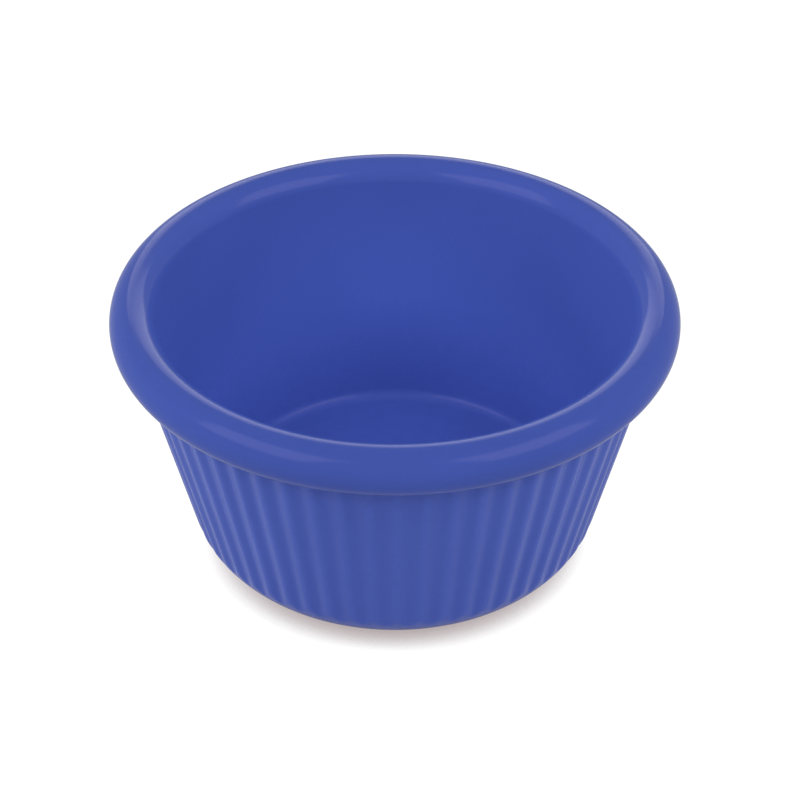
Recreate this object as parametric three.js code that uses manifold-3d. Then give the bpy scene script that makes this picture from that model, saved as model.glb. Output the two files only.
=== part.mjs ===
// A small fluted sauce dish, moulded in one piece from melamine resin: a tapered cup with upright
// flutes round the outside, a rolled rim, a smooth bowl and a foot ring under a rounded bottom edge.
// Lengths are in millimetres and +Z is up. The origin is on the table, under the dish's middle.

import * as THREE from 'three';
import { mergeVertices } from 'three/addons/utils/BufferGeometryUtils.js';
import Module from 'manifold-3d';

// Overall size
const RIM_DIAMETER = 70;
const HEIGHT = 36.7;

// Rim: an oval bead on top of the wall, standing out past the flutes
const RIM_HEIGHT = 6.1;
const RIM_OVERHANG = 3;

// Wall, from the flutes' ridges to the bowl, measured level at the rim's underside
const WALL_THICKNESS = 2.7;
const WALL_TAPER_DEGREES = 14.3;
const BOTTOM_EDGE_RADIUS = 9.1;

// Flutes: shallow hollows with a ridge between each two, below a plain band under the rim
const FLUTE_COUNT = 58;
const FLUTE_DEPTH = 0.55;
const PLAIN_BAND_HEIGHT = 0.4;
const PLAIN_BAND_STEP = 0.06;

// Bowl
const BOWL_TAPER_DEGREES = 12.3;
const FLOOR_HEIGHT = 4.6;
const BOWL_FILLET_RADIUS = 1.6;

// Foot: a flat ring round a shallow hollow with a sloping side
const FOOT_RING_WIDTH = 3;
const FOOT_HOLLOW_DEPTH = 1.2;
const FOOT_HOLLOW_SLOPE_RUN = 1;

// Facets of the round surfaces, and how far a cut runs past what it cuts
const ROUND_SEGMENTS = 88;
const ARC_STEP = THREE.MathUtils.degToRad(15);
const FLUTE_CURVE_SEGMENTS = 2;
const CUT_MARGIN = 1;

// Finish: polished cobalt-blue melamine
const MELAMINE_COLOUR = 0x364aa0;
const MELAMINE_ROUGHNESS = 0.3;

// Worked out from the sizes above
const wallTaper = THREE.MathUtils.degToRad(WALL_TAPER_DEGREES);
const bowlTaper = THREE.MathUtils.degToRad(BOWL_TAPER_DEGREES);
const rimHalfWidth = (RIM_OVERHANG + WALL_THICKNESS) / 2;
const rimHalfHeight = RIM_HEIGHT / 2;
const rimCentreRadius = RIM_DIAMETER / 2 - rimHalfWidth;
const rimLevel = HEIGHT - rimHalfHeight;
const rimUnderside = HEIGHT - RIM_HEIGHT;
const ridgeTopRadius = RIM_DIAMETER / 2 - RIM_OVERHANG;
const fluteTop = rimUnderside - PLAIN_BAND_HEIGHT;

const wasm = await Module();
wasm.setup();

// Radius of the ridges' cone at a height above the table.
function ridgeRadius(height) {
  return ridgeTopRadius - (rimUnderside - height) * Math.tan(wallTaper);
}

// Centre radius of an arc that touches a tapered wall and a level face, given the wall's radius
// at the arc's centre height.
function edgeArcCentre(wallRadius, taper, arcRadius) {
  return wallRadius - arcRadius / Math.cos(taper);
}

// Points along an oval arc in the section plane, as radius and height.
function ovalArc(centreRadius, centreHeight, halfWidth, halfHeight, from, to) {
  const clockwise = to < from;
  const steps = Math.ceil(Math.abs(to - from) / ARC_STEP);
  const curve = new THREE.EllipseCurve(
    centreRadius, centreHeight, halfWidth, halfHeight, from, to, clockwise,
  );
  return curve.getPoints(steps);
}

// The foot's underside and the rounded bottom edge, from the axis out to the wall.
function footAndBottomEdge() {
  const wallRadius = ridgeRadius(BOTTOM_EDGE_RADIUS) + PLAIN_BAND_STEP;
  const contactRadius = edgeArcCentre(wallRadius, wallTaper, BOTTOM_EDGE_RADIUS);
  const hollowRadius = contactRadius - FOOT_RING_WIDTH;
  return [
    new THREE.Vector2(0, FOOT_HOLLOW_DEPTH),
    new THREE.Vector2(hollowRadius - FOOT_HOLLOW_SLOPE_RUN, FOOT_HOLLOW_DEPTH),
    new THREE.Vector2(hollowRadius, 0),
    ...ovalArc(
      contactRadius, BOTTOM_EDGE_RADIUS, BOTTOM_EDGE_RADIUS, BOTTOM_EDGE_RADIUS,
      -Math.PI / 2, -wallTaper,
    ),
  ];
}

// The rolled rim, from where it leaves the outer wall, over the top, to where it runs smoothly
// into the bowl.
function rim() {
  const wallRadius = ridgeTopRadius + PLAIN_BAND_STEP;
  const leavesWall = -Math.acos((wallRadius - rimCentreRadius) / rimHalfWidth);
  const widest = 0;
  const highest = Math.PI / 2;
  const meetsBowl = Math.atan2(
    rimHalfHeight * Math.sin(bowlTaper), -rimHalfWidth * Math.cos(bowlTaper),
  );
  const arc = (from, to) => ovalArc(
    rimCentreRadius, rimLevel, rimHalfWidth, rimHalfHeight, from, to,
  );
  return [
    ...arc(leavesWall, widest),
    ...arc(widest, highest).slice(1),
    ...arc(highest, meetsBowl).slice(1),
  ];
}

// The fillet at the foot of the bowl's wall, and the bowl's floor in to the axis.
function bowlFloor(rimInside) {
  const centreHeight = FLOOR_HEIGHT + BOWL_FILLET_RADIUS;
  const wallRadius = rimInside.x - (rimInside.y - centreHeight) * Math.tan(bowlTaper);
  const centreRadius = edgeArcCentre(wallRadius, bowlTaper, BOWL_FILLET_RADIUS);
  return [
    ...ovalArc(
      centreRadius, centreHeight, BOWL_FILLET_RADIUS, BOWL_FILLET_RADIUS,
      -bowlTaper, -Math.PI / 2,
    ),
    new THREE.Vector2(0, FLOOR_HEIGHT),
  ];
}

// The whole dish turned about its axis, before the flutes are cut.
function turnedDish() {
  const rimPoints = rim();
  const section = [...footAndBottomEdge(), ...rimPoints, ...bowlFloor(rimPoints.at(-1))];
  return new THREE.LatheGeometry(section, ROUND_SEGMENTS).rotateX(Math.PI / 2);
}

// Outline of the fluted wall at its top: one shallow arc, hollow side out, for each flute.
function flutedOutline() {
  const halfPitch = Math.PI / FLUTE_COUNT;
  const halfChord = ridgeTopRadius * Math.sin(halfPitch);
  const rise = FLUTE_DEPTH - ridgeTopRadius * (1 - Math.cos(halfPitch));
  const arcRadius = (halfChord ** 2 + rise ** 2) / (2 * rise);
  const arcCentre = ridgeTopRadius - FLUTE_DEPTH + arcRadius;
  const halfSweep = Math.asin(halfChord / arcRadius);
  const outline = new THREE.Path();
  for (let flute = 0; flute < FLUTE_COUNT; flute += 1) {
    const turn = 2 * halfPitch * flute;
    const inward = turn + Math.PI;
    outline.absarc(
      arcCentre * Math.cos(turn), arcCentre * Math.sin(turn), arcRadius,
      inward + halfSweep, inward - halfSweep, true,
    );
  }
  return outline;
}

// A block with a fluted, tapered hole: what it takes off the turned dish leaves the fluted wall.
function fluteCutter() {
  const halfSide = RIM_DIAMETER;
  const block = new THREE.Shape();
  block.moveTo(-halfSide, -halfSide);
  block.lineTo(halfSide, -halfSide);
  block.lineTo(halfSide, halfSide);
  block.lineTo(-halfSide, halfSide);
  block.holes.push(flutedOutline());
  const cutter = new THREE.ExtrudeGeometry(block, {
    depth: fluteTop + CUT_MARGIN,
    curveSegments: FLUTE_CURVE_SEGMENTS,
    bevelEnabled: false,
  });
  cutter.translate(0, 0, -CUT_MARGIN);
  return taperedLikeTheWall(cutter);
}

// Draws a geometry in towards the axis, level by level, as the ridges' cone narrows.
function taperedLikeTheWall(geometry) {
  const position = geometry.attributes.position;
  for (let i = 0; i < position.count; i += 1) {
    const scale = ridgeRadius(position.getZ(i)) / ridgeTopRadius;
    position.setX(i, position.getX(i) * scale);
    position.setY(i, position.getY(i) * scale);
  }
  return geometry;
}

// A solid from a closed geometry: shared vertices merged, and the triangles that shrink to a line
// on the axis left out.
function solidFrom(geometry) {
  geometry.deleteAttribute('normal');
  geometry.deleteAttribute('uv');
  const merged = mergeVertices(geometry);
  const corners = merged.index.array;
  const triangles = [];
  for (let i = 0; i < corners.length; i += 3) {
    const [a, b, c] = corners.slice(i, i + 3);
    if (a !== b && b !== c && c !== a) triangles.push(a, b, c);
  }
  return new wasm.Manifold(new wasm.Mesh({
    numProp: 3,
    vertProperties: merged.attributes.position.array,
    triVerts: new Uint32Array(triangles),
  }));
}

// A geometry from a solid.
function geometryFrom(solid) {
  const { vertProperties, triVerts } = solid.getMesh();
  const geometry = new THREE.BufferGeometry();
  geometry.setAttribute('position', new THREE.BufferAttribute(vertProperties, 3));
  geometry.setIndex(new THREE.BufferAttribute(triVerts, 1));
  geometry.computeVertexNormals();
  return geometry;
}

// The dish's one piece.
function dishBody() {
  const body = solidFrom(turnedDish()).subtract(solidFrom(fluteCutter()));
  const melamine = new THREE.MeshStandardMaterial({
    color: MELAMINE_COLOUR,
    roughness: MELAMINE_ROUGHNESS,
    metalness: 0,
  });
  const mesh = new THREE.Mesh(geometryFrom(body), melamine);
  mesh.name = 'dish_body';
  return mesh;
}

const sauceDish = new THREE.Group();
sauceDish.add(dishBody());

export default sauceDish;
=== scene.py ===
import math
from collections import namedtuple

import bpy
from mathutils import Matrix, Vector


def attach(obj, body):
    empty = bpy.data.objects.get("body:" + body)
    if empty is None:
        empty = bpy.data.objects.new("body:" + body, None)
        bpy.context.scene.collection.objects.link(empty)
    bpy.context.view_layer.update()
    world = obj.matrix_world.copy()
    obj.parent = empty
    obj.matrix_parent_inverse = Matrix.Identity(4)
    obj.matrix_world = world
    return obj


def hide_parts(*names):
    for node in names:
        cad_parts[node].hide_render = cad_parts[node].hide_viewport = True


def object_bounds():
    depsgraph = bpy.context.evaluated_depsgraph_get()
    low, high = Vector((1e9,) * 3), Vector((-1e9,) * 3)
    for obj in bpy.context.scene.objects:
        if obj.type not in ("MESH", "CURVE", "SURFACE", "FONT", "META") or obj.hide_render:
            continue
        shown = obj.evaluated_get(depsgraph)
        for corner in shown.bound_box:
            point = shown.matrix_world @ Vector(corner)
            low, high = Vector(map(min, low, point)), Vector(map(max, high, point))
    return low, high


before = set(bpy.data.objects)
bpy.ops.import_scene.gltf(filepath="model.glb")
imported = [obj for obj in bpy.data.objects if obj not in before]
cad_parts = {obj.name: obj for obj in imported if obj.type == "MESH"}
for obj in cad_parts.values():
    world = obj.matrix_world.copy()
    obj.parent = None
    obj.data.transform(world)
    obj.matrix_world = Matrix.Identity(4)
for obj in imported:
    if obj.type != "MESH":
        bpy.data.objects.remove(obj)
cad_low, cad_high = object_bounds()

# A small fluted sauce dish, moulded in one piece from blue melamine resin. Sizes of the moulding are in
# millimetres, as in the part's source, and lengths in the scene are in metres.
MM = 0.001
RIM_RADIUS = (cad_high.x - cad_low.x) / 2 / MM
HEIGHT = (cad_high.z - cad_low.z) / MM

# Rim: an oval bead on top of the wall
RIM_HEIGHT = 6.1
RIM_OVERHANG = 3.0
RIM_FILLET = 0.5

# Wall, flutes and rounded bottom edge
WALL_THICKNESS = 2.7
WALL_TAPER = math.radians(14.3)
BOTTOM_EDGE_RADIUS = 9.1
FLUTE_COUNT = 58
FLUTE_DEPTH = 0.42
FLUTE_END_LENGTH = 0.9
PLAIN_BAND_HEIGHT = 0.4
PLAIN_BAND_STEP = 0.06
RUN_OUT_BLEND = 0.12

# Bowl
BOWL_TAPER = math.radians(12.3)
BOWL_FLOOR_HEIGHT = 4.6
BOWL_FILLET_RADIUS = 1.6

# Foot: a flat ring round a shallow hollow with a sloping side
FOOT_RING_WIDTH = 3.0
FOOT_HOLLOW_DEPTH = 1.2
FOOT_HOLLOW_SLOPE_RUN = 1.0
FOOT_EDGE_ROUNDING = 0.3

# Worked out from the sizes above
RIM_HALF_WIDTH = (RIM_OVERHANG + WALL_THICKNESS) / 2
RIM_HALF_HEIGHT = RIM_HEIGHT / 2
RIM_CENTRE_RADIUS = RIM_RADIUS - RIM_HALF_WIDTH
RIM_LEVEL = HEIGHT - RIM_HALF_HEIGHT
RIM_UNDERSIDE = HEIGHT - RIM_HEIGHT
RIDGE_TOP_RADIUS = RIM_RADIUS - RIM_OVERHANG
FLUTE_TOP = RIM_UNDERSIDE - PLAIN_BAND_HEIGHT
BOTTOM_EDGE_TOP = BOTTOM_EDGE_RADIUS * (1 - math.sin(WALL_TAPER))

# How finely the surface is divided, with close rings over the heights where the flutes run out
FLUTE_STEPS = 12
COLUMNS = FLUTE_COUNT * FLUTE_STEPS
FOOT_RING_STEPS = 4
BOTTOM_EDGE_STEPS = 11
RUN_OUT_FROM = 3.0
RUN_OUT_TO = 7.6
RUN_OUT_STEPS = 20
WALL_STEPS = 10
FLUTE_END_STEPS = 8
RIM_STEPS = 46
BOWL_WALL_STEPS = 9
FILLET_STEPS = 9
ROUNDING_STEPS = 5

# Rings of the hollow and of the bowl's floor, from the middle out: their columns, thinned out towards the
# middle, and their shares of the flat's radius
THINNED_COLUMNS = (COLUMNS // 8, COLUMNS // 4, COLUMNS // 2, COLUMNS)
HOLLOW_RING_SHARES = (0.25, 0.5, 0.75, 0.92)
BOWL_FLOOR_RING_SHARES = (0.24, 0.46, 0.68, 0.9)

# Finishes, in the order of the dish's material slots, and how far up the bottom edge the foot's finish goes
POLISHED, FLUTED, BOWL_INSIDE, FOOT = range(4)
FOOT_FINISH_HEIGHT = 0.5

# How much paler the outside and the rim's inner edge are painted, as painted light that stands in for light
# they lack, how soon that fades below the rim, and how far down the bowl's wall the bowl's full painted light
# is reached
WALL_PAINTED_LIGHT = 0.30
PAINTED_LIGHT_FADE = 3.0
RIM_PAINTED_LIGHT = 0.3
FULL_PAINTED_LIGHT_FROM = 0.6

# How much use has rubbed the foot ring and its inner edge, and how far up the bottom edge that fades out; the
# rim's top, the foot of the bowl's wall and the bowl's floor, from its middle out; and how soon the rubbing
# fades from a ridge into the hollow and from the rim's top down its sides
FOOT_RUBBED = 1.0
FOOT_EDGE_RUBBED = 0.9
FOOT_RUBBED_HEIGHT = 0.8
RIM_RUBBED = 0.35
BOWL_RUBBED = 0.5
BOWL_FLOOR_RUBBED = (1.0, 1.0, 0.9, 0.7)
RIDGE_RUBBED_FALL = 2.5
RIM_RUBBED_FALL = 4

# A level ring of the dish: its radius before fluting, its height and its finish, how much it is rubbed and
# how much painted light pales it, the ridges' radius and the flutes' depth there, and how many columns it
# keeps
Ring = namedtuple(
    "Ring", "radius height finish rubbed washed ridge depth columns", defaults=(0.0, 0.0, 0.0, 0.0, COLUMNS)
)


def spaced(start, end, steps):
    """Evenly spaced values from start to end, both included."""
    return [start + (end - start) * step / steps for step in range(steps + 1)]


def soft_min(first, second, blend):
    """The lower of two lengths, rounded over where they cross."""
    overlap = max(blend - abs(first - second), 0) / blend
    return min(first, second) - overlap * overlap * blend / 4


def ridge_radius(height):
    """Radius of the cone that the ridges lie on."""
    return RIDGE_TOP_RADIUS - (RIM_UNDERSIDE - height) * math.tan(WALL_TAPER)


def foot_contact_radius():
    """Outer radius of the flat foot ring, where the rounded bottom edge leaves the table."""
    wall = ridge_radius(BOTTOM_EDGE_RADIUS) + PLAIN_BAND_STEP
    return wall - BOTTOM_EDGE_RADIUS / math.cos(WALL_TAPER)


def plain_wall_radius(height):
    """Radius of the outside without its flutes: the rounded bottom edge, then the tapered wall."""
    if height >= BOTTOM_EDGE_TOP:
        return ridge_radius(height) + PLAIN_BAND_STEP
    drop = BOTTOM_EDGE_RADIUS - height
    return foot_contact_radius() + math.sqrt(BOTTOM_EDGE_RADIUS**2 - drop**2)


def curve_past_corner(start, corner, end):
    """Points of a curve from start to end that is drawn towards the corner between them."""
    points = []
    for along in spaced(0, 1, ROUNDING_STEPS):
        points.append(start.lerp(corner, along).lerp(corner.lerp(end, along), along))
    return points


def rounded_corner(before, corner, after, size):
    """Points of a small rounding in a section's corner, between the lines to the points on either side."""
    start = corner + (before - corner).normalized() * size
    end = corner + (after - corner).normalized() * size
    return curve_past_corner(start, corner, end)


def underside_rings():
    """The foot's hollow from its middle out, its sloping side and the flat ring that the dish stands on."""
    outer = foot_contact_radius()
    edge = outer - FOOT_RING_WIDTH
    middle = Vector((0, FOOT_HOLLOW_DEPTH))
    ceiling = Vector((edge - FOOT_HOLLOW_SLOPE_RUN, FOOT_HOLLOW_DEPTH))
    foot = Vector((edge, 0))
    rings = [Ring(0, FOOT_HOLLOW_DEPTH, FOOT, columns=1)]
    for share, columns in zip(HOLLOW_RING_SHARES, THINNED_COLUMNS):
        rings.append(Ring(ceiling.x * share, FOOT_HOLLOW_DEPTH, FOOT, columns=columns))
    for point in rounded_corner(middle, ceiling, foot, FOOT_EDGE_ROUNDING):
        rings.append(Ring(point.x, point.y, FOOT))
    for point in rounded_corner(ceiling, foot, Vector((outer, 0)), FOOT_EDGE_ROUNDING):
        rings.append(Ring(point.x, point.y, FOOT, FOOT_EDGE_RUBBED))
    for radius in spaced(edge + FOOT_EDGE_ROUNDING, outer, FOOT_RING_STEPS)[1:]:
        rings.append(Ring(radius, 0, FOOT, FOOT_RUBBED))
    return rings


def bottom_edge_rings():
    """The rounded bottom edge, from the table up to where the flutes run out."""
    start = -math.pi / 2
    end = -math.asin((BOTTOM_EDGE_RADIUS - RUN_OUT_FROM) / BOTTOM_EDGE_RADIUS)
    rings = []
    for turn in spaced(start, end, BOTTOM_EDGE_STEPS)[1:]:
        height = BOTTOM_EDGE_RADIUS * (1 + math.sin(turn))
        radius = foot_contact_radius() + BOTTOM_EDGE_RADIUS * math.cos(turn)
        rubbed = max(1 - height / FOOT_RUBBED_HEIGHT, 0)
        finish = FOOT if height < FOOT_FINISH_HEIGHT else FLUTED
        # The bottom edge is painted paler as light, as the wall is
        rings.append(Ring(radius, height, finish, rubbed, WALL_PAINTED_LIGHT))
    return rings


def flute_end_share(height):
    """Share of the flutes' full depth: 1 along the wall, rounding off to 0 at their upper ends."""
    into_end = (height - (FLUTE_TOP - FLUTE_END_LENGTH)) / FLUTE_END_LENGTH
    if into_end <= 0:
        return 1.0
    return math.sqrt(max(1 - into_end**2, 0))


def wall_rings():
    """The fluted wall, from the run-out of the flutes to the plain band under the rim."""
    heights = spaced(RUN_OUT_FROM, RUN_OUT_TO, RUN_OUT_STEPS)[1:]
    heights += spaced(RUN_OUT_TO, FLUTE_TOP - FLUTE_END_LENGTH, WALL_STEPS)[1:]
    for turn in spaced(0, math.pi / 2, FLUTE_END_STEPS)[1:]:
        heights.append(FLUTE_TOP - FLUTE_END_LENGTH * (1 - math.sin(turn)))
    rings = []
    for height in heights:
        ridge = ridge_radius(height)
        depth = FLUTE_DEPTH * ridge / RIDGE_TOP_RADIUS * flute_end_share(height)
        outside = plain_wall_radius(height)
        # Painted light: the wall is painted paler, less so right under the rim
        washed = WALL_PAINTED_LIGHT * min((FLUTE_TOP - height) / PAINTED_LIGHT_FADE, 1)
        rings.append(Ring(outside, height, FLUTED, washed=washed, ridge=ridge, depth=depth))
    return rings


def bead_point(turn):
    """A point of the rim's oval section, with turn 0 at its widest and a quarter turn at its top."""
    radius = RIM_CENTRE_RADIUS + RIM_HALF_WIDTH * math.cos(turn)
    return Vector((radius, RIM_LEVEL + RIM_HALF_HEIGHT * math.sin(turn)))


def bead_meets_bowl():
    """Turn at which the rim's oval runs smoothly into the bowl's wall."""
    return math.atan2(
        RIM_HALF_HEIGHT * math.sin(BOWL_TAPER), -RIM_HALF_WIDTH * math.cos(BOWL_TAPER)
    )


def rim_rings():
    """The fillet under the rim and the rolled rim itself, over the top and into the bowl."""
    fillet_start = RIM_UNDERSIDE - RIM_FILLET
    wall = Vector((ridge_radius(fillet_start) + PLAIN_BAND_STEP, fillet_start))
    corner = Vector((ridge_radius(RIM_UNDERSIDE) + PLAIN_BAND_STEP, RIM_UNDERSIDE))
    leaves_fillet = -math.pi / 2 + RIM_FILLET / RIM_HALF_WIDTH
    rings = []
    for point in curve_past_corner(wall, corner, bead_point(leaves_fillet)):
        rings.append(Ring(point.x, point.y, POLISHED))
    for turn in spaced(leaves_fillet, bead_meets_bowl(), RIM_STEPS)[1:]:
        point = bead_point(turn)
        rubbed = RIM_RUBBED * max(math.sin(turn), 0) ** RIM_RUBBED_FALL
        # Painted light: the rim's inner side is painted paler, leading into the bowl
        washed = RIM_PAINTED_LIGHT * max(-math.cos(turn), 0)
        rings.append(Ring(point.x, point.y, POLISHED, rubbed, washed))
    return rings


def bowl_rings():
    """The bowl's wall down from the rim, the fillet at its foot and the floor in to the middle."""
    top = bead_point(bead_meets_bowl())
    centre_height = BOWL_FLOOR_HEIGHT + BOWL_FILLET_RADIUS
    wall_radius = top.x - (top.y - centre_height) * math.tan(BOWL_TAPER)
    centre_radius = wall_radius - BOWL_FILLET_RADIUS / math.cos(BOWL_TAPER)
    fillet = []
    for turn in spaced(-BOWL_TAPER, -math.pi / 2, FILLET_STEPS):
        radius = centre_radius + BOWL_FILLET_RADIUS * math.cos(turn)
        fillet.append(Vector((radius, centre_height + BOWL_FILLET_RADIUS * math.sin(turn))))
    rings = []
    for along in spaced(0, 1, BOWL_WALL_STEPS)[1:-1]:
        point = top.lerp(fillet[0], along)
        # Painted light: the bowl's wall is painted paler towards its foot, and the fillet and floor fully so
        washed = RIM_PAINTED_LIGHT + (1 - RIM_PAINTED_LIGHT) * min(along / FULL_PAINTED_LIGHT_FROM, 1)
        rings.append(Ring(point.x, point.y, BOWL_INSIDE, BOWL_RUBBED * along**2, washed))
    for point in fillet:
        rings.append(Ring(point.x, point.y, BOWL_INSIDE, BOWL_RUBBED, washed=1.0))
    from_middle = [Ring(0, BOWL_FLOOR_HEIGHT, BOWL_INSIDE, BOWL_FLOOR_RUBBED[0], washed=1.0, columns=1)]
    for share, columns, rubbed in zip(BOWL_FLOOR_RING_SHARES, THINNED_COLUMNS, BOWL_FLOOR_RUBBED):
        radius = centre_radius * share
        from_middle.append(Ring(radius, BOWL_FLOOR_HEIGHT, BOWL_INSIDE, rubbed, washed=1.0, columns=columns))
    return rings + from_middle[::-1]


def column_table():
    """Each column's angle and its place in its flute: 0 on a ridge, 1 in the middle of the hollow."""
    pitch = 2 * math.pi / FLUTE_COUNT
    columns = []
    for flute in range(FLUTE_COUNT):
        for step in range(FLUTE_STEPS):
            across = step / FLUTE_STEPS - 0.5
            columns.append(((flute + across) * pitch, math.cos(math.pi * across) ** 2))
    return columns


def ring_points(level, columns):
    """The ring's points in metres, with how much each one is rubbed."""
    if level.columns == 1:
        return [((0, 0, level.height * MM), level.rubbed)]
    every = COLUMNS // level.columns
    points = []
    for angle, hollow in columns[::every]:
        radius, rubbed = level.radius, level.rubbed
        if level.depth:
            radius = soft_min(level.radius, level.ridge - level.depth * hollow, RUN_OUT_BLEND)
            rubbed = max(1 - RIDGE_RUBBED_FALL * hollow, 0) * level.depth / FLUTE_DEPTH
        place = (radius * math.cos(angle) * MM, radius * math.sin(angle) * MM, level.height * MM)
        points.append((place, rubbed))
    return points


def faces_between(lower, upper):
    """Faces between two rings of vertex numbers: alike, one with half the other's columns, or one a point."""
    faces = []
    if len(lower) == 1:
        for i in range(len(upper)):
            faces.append((lower[0], upper[(i + 1) % len(upper)], upper[i]))
    elif len(upper) == 1:
        for i in range(len(lower)):
            faces.append((lower[i], lower[(i + 1) % len(lower)], upper[0]))
    elif len(lower) == len(upper):
        for i in range(len(lower)):
            j = (i + 1) % len(lower)
            faces.append((lower[i], lower[j], upper[j], upper[i]))
    elif len(lower) > len(upper):
        for i in range(len(upper)):
            a, b, c = lower[2 * i], lower[2 * i + 1], lower[(2 * i + 2) % len(lower)]
            d, e = upper[i], upper[(i + 1) % len(upper)]
            faces += [(a, b, d), (b, c, e), (b, e, d)]
    else:
        for i in range(len(lower)):
            a, b = lower[i], lower[(i + 1) % len(lower)]
            c, d, e = upper[2 * i], upper[2 * i + 1], upper[(2 * i + 2) % len(upper)]
            faces += [(a, d, c), (b, e, d), (a, b, d)]
    return faces


def moulded_dish():
    """The whole dish as one closed surface of rings and columns."""
    rings = underside_rings() + bottom_edge_rings() + wall_rings() + rim_rings() + bowl_rings()
    columns = column_table()
    places, rubbed, washed, numbers = [], [], [], []
    for level in rings:
        points = ring_points(level, columns)
        numbers.append(list(range(len(places), len(places) + len(points))))
        for place, share in points:
            places.append(place)
            rubbed.append(share)
            washed.append(level.washed)
    faces, finishes = [], []
    for i in range(len(rings) - 1):
        between = faces_between(numbers[i], numbers[i + 1])
        faces += between
        finishes += [rings[i + 1].finish] * len(between)
    mesh = bpy.data.meshes.new("sauce_dish")
    mesh.from_pydata(places, [], faces)
    mesh.polygons.foreach_set("material_index", finishes)
    mesh.polygons.foreach_set("use_smooth", [True] * len(faces))
    mesh.attributes.new("rubbed", "FLOAT", "POINT").data.foreach_set("value", rubbed)
    # This attribute carries the painted light: how much paler each point is painted
    mesh.attributes.new("washed", "FLOAT", "POINT").data.foreach_set("value", washed)
    mesh.validate()
    mesh.update()
    dish = bpy.data.objects.new("sauce_dish", mesh)
    bpy.context.scene.collection.objects.link(dish)
    return dish


# Shader building blocks

COLOUR = "NodeSocketColor"
NUMBER = "NodeSocketFloat"


def link(tree, source, target):
    """Joins one node's output to another's input."""
    tree.links.new(source, target)


def node(tree, kind, values=None, **settings):
    """A new node with its settings, and with values on its named inputs."""
    made = tree.nodes.new(kind)
    for name, value in settings.items():
        setattr(made, name, value)
    for name, value in (values or {}).items():
        made.inputs[name].default_value = value
    return made


def maths(tree, operation, first, second, clamp=False):
    """The result of one operation on two sockets or numbers."""
    made = node(tree, "ShaderNodeMath", operation=operation, use_clamp=clamp)
    for place, value in ((0, first), (1, second)):
        if isinstance(value, (int, float)):
            made.inputs[place].default_value = value
        else:
            link(tree, value, made.inputs[place])
    return made.outputs[0]


def noise(tree, scale_from, detail, roughness=0.5):
    """Noise over the dish's own space, with its scale from a socket."""
    place = node(tree, "ShaderNodeTexCoord")
    made = node(tree, "ShaderNodeTexNoise", {"Detail": detail, "Roughness": roughness})
    link(tree, place.outputs["Object"], made.inputs["Vector"])
    link(tree, scale_from, made.inputs["Scale"])
    return made.outputs["Fac"]


def new_group(name, inputs, outputs):
    """An empty shader node group with named sockets, and the nodes for its inputs and outputs."""
    group = bpy.data.node_groups.new(name, "ShaderNodeTree")
    for label, kind in inputs:
        group.interface.new_socket(label, in_out="INPUT", socket_type=kind)
    for label, kind in outputs:
        group.interface.new_socket(label, in_out="OUTPUT", socket_type=kind)
    return group, group.nodes.new("NodeGroupInput"), group.nodes.new("NodeGroupOutput")


def placed(tree, group, values):
    """A group placed in a material, with its own values."""
    return node(tree, "ShaderNodeGroup", values, node_tree=group)


# Effects that all finishes share

# The value that noise swings about
NOISE_MIDDLE = 0.5

# Hairlines: each layer's turn and how far its marks are drawn out, the share of that turn about each axis,
# and the noise at which marks start and how fast they come up
HAIRLINE_LAYERS = ((0.5, 22.0), (-0.9, 30.0))
HAIRLINE_AXES = (0.3, 0.7, 1.0)
HAIRLINE_START = 0.85
HAIRLINE_GAIN = 6.0

# Rubbed places: the noise at which they start and how fast they come up
RUBBED_START = 0.25
RUBBED_GAIN = 1.6


def resin_tone_group():
    """Faint clouds and specks of pigment in the moulded resin."""
    group, given, result = new_group(
        "resin_tone",
        [("Colour", COLOUR), ("Cloud Scale", NUMBER), ("Cloud Depth", NUMBER), ("Speck Scale", NUMBER),
         ("Speck Depth", NUMBER)],
        [("Colour", COLOUR)],
    )
    tone = 1.0
    for pattern, detail in (("Cloud", 3), ("Speck", 1)):
        spots = noise(group, given.outputs[pattern + " Scale"], detail)
        swing = maths(group, "SUBTRACT", spots, NOISE_MIDDLE)
        tone = maths(group, "ADD", maths(group, "MULTIPLY", swing, given.outputs[pattern + " Depth"]), tone)
    shaded = node(group, "ShaderNodeHueSaturation")
    link(group, given.outputs["Colour"], shaded.inputs["Color"])
    link(group, tone, shaded.inputs["Value"])
    link(group, shaded.outputs["Color"], result.inputs["Colour"])
    return group


def hairline_group():
    """Hairline marks from wiping and stacking, in two directions."""
    group, given, result = new_group(
        "hairline_marks", [("Scale", NUMBER), ("Share", NUMBER)], [("Marks", NUMBER)]
    )
    layers = []
    for turn, drawn_out in HAIRLINE_LAYERS:
        place = node(group, "ShaderNodeTexCoord")
        turned = [turn * share for share in HAIRLINE_AXES]
        stretched = node(group, "ShaderNodeMapping", {"Rotation": turned, "Scale": (1.0, drawn_out, 1.0)})
        lines = node(group, "ShaderNodeTexNoise", {"Detail": 2.0, "Roughness": 0.6})
        link(group, place.outputs["Object"], stretched.inputs["Vector"])
        link(group, stretched.outputs["Vector"], lines.inputs["Vector"])
        link(group, given.outputs["Scale"], lines.inputs["Scale"])
        layers.append(lines.outputs["Fac"])
    highest = maths(group, "MAXIMUM", layers[0], layers[1])
    start = maths(group, "SUBTRACT", HAIRLINE_START, given.outputs["Share"])
    over_start = maths(group, "SUBTRACT", highest, start)
    link(group, maths(group, "MULTIPLY", over_start, HAIRLINE_GAIN, clamp=True), result.inputs["Marks"])
    return group


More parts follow.
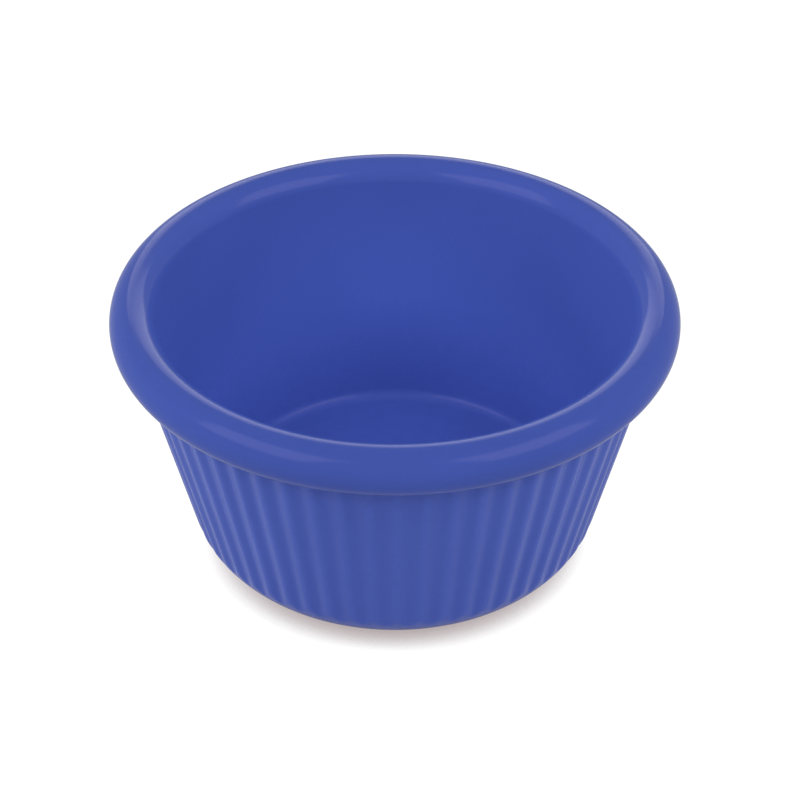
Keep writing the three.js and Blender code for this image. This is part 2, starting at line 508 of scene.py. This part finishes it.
def rubbed_places_group():
    """Where handling dulls and lightens the surface: the mesh's own measure, broken up by noise."""
    group, given, result = new_group(
        "rubbed_places", [("Scale", NUMBER), ("Amount", NUMBER)], [("Mask", NUMBER)]
    )
    measure = node(group, "ShaderNodeAttribute", attribute_name="rubbed")
    breaks = noise(group, given.outputs["Scale"], detail=4, roughness=0.6)
    over_start = maths(group, "SUBTRACT", breaks, RUBBED_START)
    patchy = maths(group, "MULTIPLY", over_start, RUBBED_GAIN, clamp=True)
    mask = maths(group, "MULTIPLY", measure.outputs["Fac"], patchy)
    link(group, maths(group, "MULTIPLY", mask, given.outputs["Amount"], clamp=True), result.inputs["Mask"])
    return group


def moulded_skin_group():
    """Height of the moulded skin: slow ripples left by the tool, and a fine grain."""
    group, given, result = new_group(
        "moulded_skin",
        [("Ripple Scale", NUMBER), ("Ripple", NUMBER), ("Grain Scale", NUMBER), ("Grain", NUMBER)],
        [("Height", NUMBER)],
    )
    slow = noise(group, given.outputs["Ripple Scale"], detail=1)
    fine = noise(group, given.outputs["Grain Scale"], detail=2)
    ripple = maths(group, "MULTIPLY", slow, given.outputs["Ripple"])
    grain = maths(group, "MULTIPLY", fine, given.outputs["Grain"])
    link(group, maths(group, "ADD", ripple, grain), result.inputs["Height"])
    return group


# The blue as moulded, a paler blue painted on as light on the wall and inside the bowl, the blue where it is
# rubbed, and the gloss that every finish has
MELAMINE_BLUE = (0.038, 0.066, 0.290, 1)
PAINTED_LIGHT_BLUE = (0.068, 0.117, 0.480, 1)
RUBBED_BLUE = (0.096, 0.155, 0.580, 1)
VIOLET_SHEEN = (1.0, 0.76, 1.0, 1)
GLOSS = {"IOR": 1.45, "Specular IOR Level": 0.115, "Specular Tint": VIOLET_SHEEN, "Metallic": 0.0}

# Patterns of every finish: noise scales per metre, the depth of the tones, how much a hairline roughens the
# surface and cuts into it, and the skin's relief in metres
RESIN_TONE = {"Cloud Scale": 90.0, "Cloud Depth": 0.10, "Speck Scale": 2600.0, "Speck Depth": 0.08}
RUBBED_SCALE = 700.0
HAIRLINE_SCALE = 260.0
HAIRLINE_ROUGHNESS = 0.10
HAIRLINE_CUT = 0.06
SKIN = {"Ripple Scale": 160.0, "Ripple": 1.0, "Grain Scale": 3200.0}
SKIN_RELIEF = 0.000012

# A finish: its roughness, how much rougher rubbed places are and how far they show, its share of hairlines,
# and the height of its grain
Finish = namedtuple("Finish", "name roughness rubbed_roughness rubbed_amount mark_share grain")
FINISHES = (
    Finish("polished_melamine", 0.14, 0.08, 0.15, 0.06, 0.10),
    Finish("fluted_melamine", 0.21, 0.08, 0.15, 0.06, 0.10),
    Finish("bowl_inside_melamine", 0.22, 0.10, 0.40, 0.08, 0.12),
    Finish("foot_melamine", 0.30, 0.28, 0.80, 0.16, 0.40),
)


def melamine(finish, groups):
    """One finish of the blue melamine: tone, rubbed places, hairlines and moulded skin."""
    material = bpy.data.materials.new(finish.name)
    material.use_nodes = True
    tree = material.node_tree
    tree.nodes.clear()
    shader = node(tree, "ShaderNodeBsdfPrincipled", GLOSS)
    output = node(tree, "ShaderNodeOutputMaterial")
    link(tree, shader.outputs["BSDF"], output.inputs["Surface"])

    # Painted light: the attribute mixes in a paler blue, standing in for light on the wall and inside the
    # bowl
    washed = node(tree, "ShaderNodeAttribute", attribute_name="washed")
    pigment = node(tree, "ShaderNodeMix", data_type="RGBA")
    link(tree, washed.outputs["Fac"], pigment.inputs["Factor"])
    pigment.inputs["A"].default_value = MELAMINE_BLUE
    pigment.inputs["B"].default_value = PAINTED_LIGHT_BLUE
    tone = placed(tree, groups["tone"], RESIN_TONE)
    link(tree, pigment.outputs["Result"], tone.inputs["Colour"])
    rubbed = placed(tree, groups["rubbed"], {"Scale": RUBBED_SCALE, "Amount": finish.rubbed_amount})
    marks = placed(tree, groups["marks"], {"Scale": HAIRLINE_SCALE, "Share": finish.mark_share})
    skin = placed(tree, groups["skin"], {**SKIN, "Grain": finish.grain})

    colour = node(tree, "ShaderNodeMix", data_type="RGBA")
    link(tree, rubbed.outputs["Mask"], colour.inputs["Factor"])
    link(tree, tone.outputs["Colour"], colour.inputs["A"])
    colour.inputs["B"].default_value = RUBBED_BLUE
    link(tree, colour.outputs["Result"], shader.inputs["Base Color"])

    dulled = maths(tree, "MULTIPLY", rubbed.outputs["Mask"], finish.rubbed_roughness)
    marked = maths(tree, "MULTIPLY", marks.outputs["Marks"], HAIRLINE_ROUGHNESS)
    roughness = maths(tree, "ADD", maths(tree, "ADD", dulled, marked), finish.roughness, clamp=True)
    link(tree, roughness, shader.inputs["Roughness"])

    cuts = maths(tree, "MULTIPLY", marks.outputs["Marks"], HAIRLINE_CUT)
    bump = node(tree, "ShaderNodeBump", {"Strength": 1.0, "Distance": SKIN_RELIEF})
    link(tree, maths(tree, "SUBTRACT", skin.outputs["Height"], cuts), bump.inputs["Height"])
    link(tree, bump.outputs["Normal"], shader.inputs["Normal"])
    return material


def finish_dish(dish):
    """Gives the dish its four finishes, in slot order."""
    groups = {
        "tone": resin_tone_group(),
        "rubbed": rubbed_places_group(),
        "marks": hairline_group(),
        "skin": moulded_skin_group(),
    }
    for finish in FINISHES:
        dish.data.materials.append(melamine(finish, groups))


# Stage: floor, light and camera

WHITE = (1, 1, 1, 1)

# Floor: its colour under the lamps; the shade where the dish stands, how far it reaches and the openness at
# which it is full and gone; and how much of the floor is an even white, and how strong, straight and mirrored
FLOOR_HALF_SIDE = 3.0
FLOOR_COLOUR = (0.74, 0.74, 0.74, 1)
CONTACT_SHADE = (0.43, 0.37, 0.37, 1)
CONTACT_REACH = 0.005
CONTACT_FULL = 0.2
CONTACT_GONE = 0.55
CONTACT_SAMPLES = 8
FLOOR_WHITE_SHARE = 0.86
FLOOR_WHITE_STRENGTH = 1.15
FLOOR_MIRRORED_STRENGTH = 0.60


def seen_as_background(tree, straight, mirrored):
    """How much of its white the background shows, straight or through something clear, and in a mirror."""
    path = node(tree, "ShaderNodeLightPath")
    clear = maths(tree, "MAXIMUM", path.outputs["Is Camera Ray"], path.outputs["Is Transmission Ray"])
    shown = maths(tree, "MULTIPLY", clear, straight)
    return maths(tree, "MAXIMUM", shown, maths(tree, "MULTIPLY", path.outputs["Is Glossy Ray"], mirrored))


def floor_material():
    """A pale floor that shows as white, and dimmer in gloss, with a shade close to where the dish stands."""
    material = bpy.data.materials.new("pale_floor")
    material.use_nodes = True
    tree = material.node_tree
    tree.nodes.clear()
    pale = node(tree, "ShaderNodeBsdfDiffuse", {"Color": FLOOR_COLOUR})
    openness = node(tree, "ShaderNodeAmbientOcclusion", {"Distance": CONTACT_REACH}, samples=CONTACT_SAMPLES)
    shade = node(tree, "ShaderNodeMapRange", {"From Min": CONTACT_FULL, "From Max": CONTACT_GONE})
    link(tree, openness.outputs["AO"], shade.inputs["Value"])
    tint = node(tree, "ShaderNodeMix", data_type="RGBA")
    link(tree, shade.outputs["Result"], tint.inputs["Factor"])
    tint.inputs["A"].default_value = CONTACT_SHADE
    tint.inputs["B"].default_value = WHITE
    path = node(tree, "ShaderNodeLightPath")
    dimming = FLOOR_WHITE_STRENGTH - FLOOR_MIRRORED_STRENGTH
    dimmed = maths(tree, "MULTIPLY", path.outputs["Is Glossy Ray"], dimming)
    white = node(tree, "ShaderNodeEmission")
    link(tree, maths(tree, "SUBTRACT", FLOOR_WHITE_STRENGTH, dimmed), white.inputs["Strength"])
    link(tree, tint.outputs["Result"], white.inputs["Color"])
    both = node(tree, "ShaderNodeMixShader")
    shown = seen_as_background(tree, straight=FLOOR_WHITE_SHARE, mirrored=1.0)
    link(tree, shown, both.inputs["Fac"])
    link(tree, pale.outputs["BSDF"], both.inputs[1])
    link(tree, white.outputs["Emission"], both.inputs[2])
    output = node(tree, "ShaderNodeOutputMaterial")
    link(tree, both.outputs["Shader"], output.inputs["Surface"])
    return material


def pale_floor():
    """The floor that the dish stands on."""
    side = FLOOR_HALF_SIDE
    corners = [(-side, -side, 0), (side, -side, 0), (side, side, 0), (-side, side, 0)]
    mesh = bpy.data.meshes.new("pale_floor")
    mesh.from_pydata(corners, [], [(0, 1, 2, 3)])
    mesh.materials.append(floor_material())
    floor = bpy.data.objects.new("pale_floor", mesh)
    bpy.context.scene.collection.objects.link(floor)
    return floor


# Room: its fill on the surfaces, its white, and how much of that white shows in gloss
ROOM_FILL = 0.45
ROOM_WHITE = 1.0
ROOM_MIRRORED_SHARE = 0.3


def studio_room():
    """The room: white where it is seen, partly so where it is mirrored, and an even fill on the surfaces."""
    world = bpy.data.worlds.new("studio_room")
    world.use_nodes = True
    tree = world.node_tree
    tree.nodes.clear()
    fill = node(tree, "ShaderNodeBackground", {"Color": WHITE, "Strength": ROOM_FILL})
    white = node(tree, "ShaderNodeBackground", {"Color": WHITE, "Strength": ROOM_WHITE})
    both = node(tree, "ShaderNodeMixShader")
    shown = seen_as_background(tree, straight=1.0, mirrored=ROOM_MIRRORED_SHARE)
    link(tree, shown, both.inputs["Fac"])
    link(tree, fill.outputs["Background"], both.inputs[1])
    link(tree, white.outputs["Background"], both.inputs[2])
    output = node(tree, "ShaderNodeOutputWorld")
    link(tree, both.outputs["Shader"], output.inputs["Surface"])
    bpy.context.scene.world = world


# Softboxes: how far round from the front towards the right and how high, in degrees; how far off, how wide
# and how tall; brightness; and whether the dish mirrors them
Softbox = namedtuple("Softbox", "name round_to_right rise distance width height brightness mirrored")
SOFTBOXES = (
    Softbox("front_left_softbox", -57, 40, 0.65, 0.50, 0.40, 2.8, True),
    Softbox("front_right_softbox", 57, 40, 0.65, 0.50, 0.40, 2.8, True),
    Softbox("low_front_softbox", 0, 14, 0.65, 0.60, 0.25, 0.9, False),
    Softbox("back_softbox", 177, 22, 0.70, 0.56, 0.34, 1.8, True),
    Softbox("left_softbox", -108, 6, 0.60, 0.36, 0.26, 5.6, False),
    Softbox("right_softbox", 108, 6, 0.60, 0.36, 0.22, 4.0, False),
)
LIGHT_CENTRE = Vector((0, 0, 0.03))

# Watts that give a square metre of lamp a brightness of 1
LAMP_WATTS = 4


def softbox(box):
    """A soft, even lamp that faces the dish."""
    turn, rise = math.radians(box.round_to_right), math.radians(box.rise)
    towards = Vector((math.sin(turn) * math.cos(rise), -math.cos(turn) * math.cos(rise), math.sin(rise)))
    lamp = bpy.data.lights.new(box.name, "AREA")
    lamp.shape = "RECTANGLE"
    lamp.size = box.width
    lamp.size_y = box.height
    lamp.energy = LAMP_WATTS * box.brightness * box.width * box.height
    made = bpy.data.objects.new(box.name, lamp)
    made.location = LIGHT_CENTRE + towards * box.distance
    made.rotation_euler = towards.to_track_quat("Z", "Y").to_euler()
    made.visible_camera = False
    made.visible_glossy = box.mirrored
    bpy.context.scene.collection.objects.link(made)


# Camera: where it stands round the dish, what it aims at, and its lens and sensor in millimetres
CAMERA_TURN = math.radians(-0.75)
CAMERA_RISE = math.radians(35.63)
CAMERA_DISTANCE = 0.350
CAMERA_AIM = Vector((0.00064, 0, 0.02035))
CAMERA_ROLL = math.radians(0.08)
CAMERA_LENS = 125.35
CAMERA_SENSOR = 36.0
CAMERA_NEAR = 0.01
CAMERA_FAR = 20


def photo_camera():
    """The camera, at the viewing angle of the photograph."""
    lens = bpy.data.cameras.new("camera")
    lens.lens = CAMERA_LENS
    lens.sensor_width = CAMERA_SENSOR
    lens.clip_start = CAMERA_NEAR
    lens.clip_end = CAMERA_FAR
    camera = bpy.data.objects.new("camera", lens)
    level = math.cos(CAMERA_RISE)
    back = Vector((level * math.sin(CAMERA_TURN), -level * math.cos(CAMERA_TURN), math.sin(CAMERA_RISE)))
    facing = (-back).to_track_quat("-Z", "Y").to_matrix().to_4x4()
    place = Matrix.Translation(CAMERA_AIM + back * CAMERA_DISTANCE)
    camera.matrix_world = place @ facing @ Matrix.Rotation(CAMERA_ROLL, 4, "Z")
    bpy.context.scene.collection.objects.link(camera)
    bpy.context.scene.camera = camera


photo_camera()
dish = moulded_dish()
finish_dish(dish)
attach(dish, "root")
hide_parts("dish_body")
floor = pale_floor()
studio_room()
for box in SOFTBOXES:
    softbox(box)
bpy.context.scene.view_settings.view_transform = "Standard"
